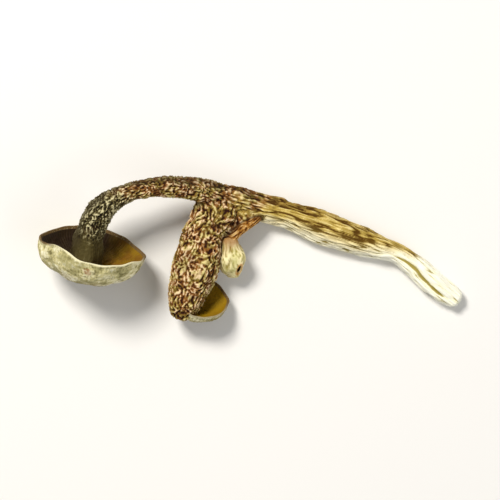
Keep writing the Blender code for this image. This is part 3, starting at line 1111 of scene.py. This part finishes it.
def make_gills(name, cap, settings, seed):
    """A ring of gills of several lengths that lines a cap's hollow."""
    columns = cap.gills * GILL_COLUMNS
    rows = GILL_ROWS + GILL_BACK_ROWS
    reaches = np.concatenate([
        np.linspace(GILL_INNER, 1.0, GILL_ROWS),
        np.linspace(1.0, GILL_INNER, GILL_BACK_ROWS + 2)[1:-1],
    ])
    rng = np.random.default_rng(seed)
    starts = np.array([GILL_STARTS[gill % len(GILL_STARTS)] for gill in range(cap.gills)])
    starts = starts + GILL_SCATTER * rng.standard_normal(cap.gills)
    sway = spread(rng.standard_normal((rows, cap.gills)), 0.24, 0.2, 60)
    sway /= sway.std()
    rough = spread(rng.standard_normal((rows, cap.gills)), 0.2, 0.05, 12)
    rough /= rough.std()
    thickness = settings.gill_thickness / MM
    inner_radius = cap.radius - cap.edge

    def place(row, column):
        reach = reaches[row]
        gill = column // GILL_COLUMNS
        part = column % GILL_COLUMNS
        top = row < GILL_ROWS
        radius = inner_radius * reach
        step = math.tau / cap.gills
        offset = GILL_OFFSET[part] * thickness / radius
        share = np.where(part > GILL_COLUMNS // 2, part - GILL_COLUMNS, part) / GILL_COLUMNS
        limit = np.abs(share) * step * 0.95
        even = np.where(GILL_OFFSET[part] == 0.0, share * step, np.clip(offset, -limit, limit))
        grown = ease(reach - starts[gill], 0.0, 0.12)
        tall = GILL_HEIGHT[part] * grown * (1.0 - GILL_ROUGHNESS * np.abs(rough[row, gill]))
        bent = GILL_SWAY * sway[row, gill] / radius * (0.4 + 0.6 * tall)
        angle = gill * step + even + bent
        crest = -cap.hollow * (1.0 - reach**HOLLOW_FULLNESS) - GILL_DROP
        depth = gill_depth_at(cap, reach)
        height = np.where(top, crest - depth * (1.0 - tall), crest - depth - GILL_BACK)
        points = cap_points(cap, radius, height, angle)
        # Painted shade on one side of the gills.
        dark = cap.bright * ease(np.cos(angle) - 0.4 * np.sin(angle), -0.45, 0.3)
        return points, {"ridge": tall * top, "dark": dark}

    mesh = rolled_mesh(rows, columns, place, ring=True)
    add_piece(name, mesh, gill_material(name, cap, settings))


def gill_material(name, cap, settings):
    """Ochre gills, darker in their valleys, with painted shade on one side and painted light on the
    small cap's gills.
    """
    shader = Shader(name)
    place = shader.place()
    speck = shader.noise(place, 3.0, 3.0, 0.6)
    patch = shader.noise(place, 0.5, 2.0)
    edge = shader.mix(shader.steps(patch, 0.4, 0.7), settings.gill_edge, settings.gill_patch)
    height = shader.attribute("ridge") + 0.35 * (speck - 0.5)
    height = shader.steps(height, 0.05, 0.95)
    # Painted light on the small cap's gills, which its short stem shades: the edges turn gold and the
    # valleys take the edges' colour.
    edge = shader.mix(0.7 * (1.0 - cap.bright), edge, settings.gill_painted_light)
    root = shader.mix(0.7 * (1.0 - cap.bright), settings.gill_root, edge)
    colour = shader.mix(height, root, edge)
    # Painted shade on one side of the gills.
    colour = shader.mix(shader.attribute("dark") * 0.92, colour, settings.gill_painted_shade)
    return shader.finish(colour, 0.8 - 0.15 * height, shader.bump(speck, 0.05))


# The sides of the bud and the length of a row, and the gap, stretch and depth of its creases.
BUD_SIDES = 140
BUD_STEP = 8.0 / 150
BUD_GAP = 0.9
BUD_STRETCH = 3.5
BUD_CREASES = 0.14
BUD_LUMPS = 0.3

# The slit at the bud's tip, seen from above, and the height of its lip.
SLIT_PLACE = (-1.72, -3.43)
SLIT_HEADING = math.radians(65.0)
SLIT_DEPTH = 0.7
LIP_HEIGHT = 0.04


def make_bud(settings):
    """The closed bud, with creases along it and a slit at its tip."""
    mesh = stem_loft(BUD, BUD_SIDES, BUD_STEP)
    points = points_of(mesh)
    course = stem_course(BUD)
    spot = spots_on(course, points)
    drift = (0.5 * cloud(points, 2.0, 51), 0.4 * cloud(points, 2.0, 52))
    ridge = stem_wrinkles(course, spot, BUD_GAP, BUD_STRETCH, 60, drift)
    across = points[:, :2] - SLIT_PLACE
    ahead = np.array((math.cos(SLIT_HEADING), math.sin(SLIT_HEADING)))
    beside = np.array((-ahead[1], ahead[0]))
    long_way = across @ ahead / (settings.slit_length / MM / 2)
    wide_way = across @ beside / (settings.slit_width / MM / 2)
    normals = normals_of(mesh)
    slit = np.hypot(long_way, wide_way) + 9.0 * (normals[:, 2] < 0.0)
    open_share = fade(slit, 0.35, 1.0)
    lip = np.exp(-((slit - 1.25) / 0.35) ** 2)
    lumps = cloud(points, 1.8, 9) * 0.5 + 0.5
    lift = -BUD_CREASES * (1.0 - ridge) - BUD_LUMPS * lumps - SLIT_DEPTH * open_share
    lift += LIP_HEIGHT * lip
    set_points(mesh, points + normals * lift[:, None])
    carry(mesh, ridge=ridge, slit=open_share, lip=lip, along=spot.along / course.along[-1])
    add_piece("bud", mesh, bud_material(settings))


def bud_material(settings):
    """Cream skin with a green tint, and an orange rim round the slit."""
    shader = Shader("bud_skin")
    place = shader.place()
    speck = shader.noise(place, 2.8, 4.0, 0.65)
    patch = shader.noise(place, 0.6, 3.0)
    height = shader.attribute("ridge") + 0.5 * (speck - 0.5)
    colour = shader.mix(shader.steps(height, 0.0, 0.75), settings.crease, settings.skin)
    colour = shader.mix(shader.steps(patch, 0.4, 0.75, 0.0, 0.55), colour, settings.green)
    start = shader.steps(shader.attribute("along") + 0.25 * (patch - 0.5), 0.08, 0.42)
    colour = shader.mix((1.0 - start) * 0.85, colour, settings.base)
    colour = shader.mix(shader.attribute("lip") * 0.75, colour, settings.slit_rim)
    inside = shader.steps(shader.attribute("slit"), 0.02, 0.3)
    colour = shader.mix(inside, colour, settings.slit_dark)
    return shader.finish(colour, 0.7 - 0.1 * height, shader.bump(speck, 0.06))


def add_light(name, place, size, power, colour):
    """A square soft light that looks at the mushroom."""
    light = bpy.data.lights.new(name, "AREA")
    light.shape = "SQUARE"
    light.size = size
    light.energy = power
    light.color = colour
    lamp = add_object(name, light)
    lamp.location = place
    lamp.rotation_euler = Vector(place).to_track_quat("Z", "Y").to_euler()


def make_stage(settings):
    """A plain pale floor, soft lights and a camera that looks straight down."""
    bm = bmesh.new()
    bmesh.ops.create_grid(bm, x_segments=1, y_segments=1, size=settings.floor_size / 2)
    mesh = bpy.data.meshes.new("floor")
    bm.to_mesh(mesh)
    bm.free()
    floor = add_object("floor", mesh)
    shader = Shader("floor")
    shader.feed(shader.surface.inputs["Base Color"], tuple(settings.floor_colour))
    shader.surface.inputs["Roughness"].default_value = 0.9
    mesh.materials.append(shader.material)

    add_light("key_light", (-0.20, 0.26, 0.50), size=0.16, power=3.4, colour=(1.0, 0.97, 0.92))
    add_light("fill_light", (0.40, -0.25, 0.40), size=0.45, power=1.0, colour=(0.95, 0.97, 1.0))
    world = bpy.data.worlds.new("soft_room")
    world.use_nodes = True
    background = world.node_tree.nodes["Background"].inputs
    background["Color"].default_value = (1.0, 1.0, 1.0, 1.0)
    background["Strength"].default_value = 0.3
    bpy.context.scene.world = world

    width = (CAD_HIGH.x - CAD_LOW.x) / settings.fill
    camera_data = bpy.data.cameras.new("camera")
    camera_data.lens = settings.lens
    camera_data.clip_start = 0.01
    camera = add_object("camera", camera_data)
    distance = width * settings.lens / camera_data.sensor_width
    camera.location = (0.0, 0.0, CAD_HIGH.z / 2 + distance)
    bpy.context.scene.camera = camera
    bpy.context.scene.view_settings.view_transform = "Standard"


class MUSHROOM_OT_stems(bpy.types.Operator):
    """Add the long stem, the short stem and the bud's stalk"""

    bl_idname = "mushroom.stems"
    bl_label = "Stems"

    def execute(self, context):
        make_stems(context.scene.mushroom_stems)
        return {"FINISHED"}


class MUSHROOM_OT_caps(bpy.types.Operator):
    """Add the large cap and the small cap"""

    bl_idname = "mushroom.caps"
    bl_label = "Caps"

    def execute(self, context):
        settings = context.scene.mushroom_caps
        make_cap_flesh("large_cap", LARGE_CAP, settings, 21)
        make_cap_flesh("small_cap", SMALL_CAP, settings, 22)
        return {"FINISHED"}


class MUSHROOM_OT_gills(bpy.types.Operator):
    """Add the gills of both caps"""

    bl_idname = "mushroom.gills"
    bl_label = "Gills"

    def execute(self, context):
        settings = context.scene.mushroom_caps
        make_gills("large_gills", LARGE_CAP, settings, 31)
        make_gills("small_gills", SMALL_CAP, settings, 32)
        return {"FINISHED"}


class MUSHROOM_OT_bud(bpy.types.Operator):
    """Add the bud in the crotch"""

    bl_idname = "mushroom.bud"
    bl_label = "Bud"

    def execute(self, context):
        make_bud(context.scene.mushroom_bud)
        return {"FINISHED"}


class MUSHROOM_OT_stage(bpy.types.Operator):
    """Add the floor, the lights and the camera"""

    bl_idname = "mushroom.stage"
    bl_label = "Stage"

    def execute(self, context):
        make_stage(context.scene.mushroom_stage)
        return {"FINISHED"}


class MUSHROOM_PT_panel(bpy.types.Panel):
    """Buttons and settings of the mushroom"""

    bl_label = "Deer antler mushroom"
    bl_idname = "MUSHROOM_PT_panel"
    bl_space_type = "VIEW_3D"
    bl_region_type = "UI"
    bl_category = "Mushroom"

    def draw(self, context):
        for group, (_, *operators) in PARTS.items():
            box = self.layout.box()
            settings = getattr(context.scene, group)
            for name in settings.bl_rna.properties.keys():
                if name not in ("rna_type", "name"):
                    box.prop(settings, name)
            for operator in operators:
                box.operator(operator.bl_idname)


# The settings and the operators of each part of the panel.
PARTS = {
    "mushroom_stems": (StemSettings, MUSHROOM_OT_stems),
    "mushroom_caps": (CapSettings, MUSHROOM_OT_caps, MUSHROOM_OT_gills),
    "mushroom_bud": (BudSettings, MUSHROOM_OT_bud),
    "mushroom_stage": (StageSettings, MUSHROOM_OT_stage),
}

CLASSES = (*(cls for part in PARTS.values() for cls in part), MUSHROOM_PT_panel)


def register():
    """Add the classes, and the settings of each scene."""
    for cls in CLASSES:
        bpy.utils.register_class(cls)
    for name, (group, *_) in PARTS.items():
        setattr(bpy.types.Scene, name, bpy.props.PointerProperty(type=group))


def unregister():
    """Take the settings and the classes away."""
    for name in PARTS:
        delattr(bpy.types.Scene, name)
    for cls in reversed(CLASSES):
        bpy.utils.unregister_class(cls)


def main():
    """Build the mushroom and its stage."""
    register()
    bpy.ops.mushroom.stage()
    bpy.ops.mushroom.stems()
    bpy.ops.mushroom.caps()
    bpy.ops.mushroom.gills()
    bpy.ops.mushroom.bud()


if __name__ == "__main__":
    main()
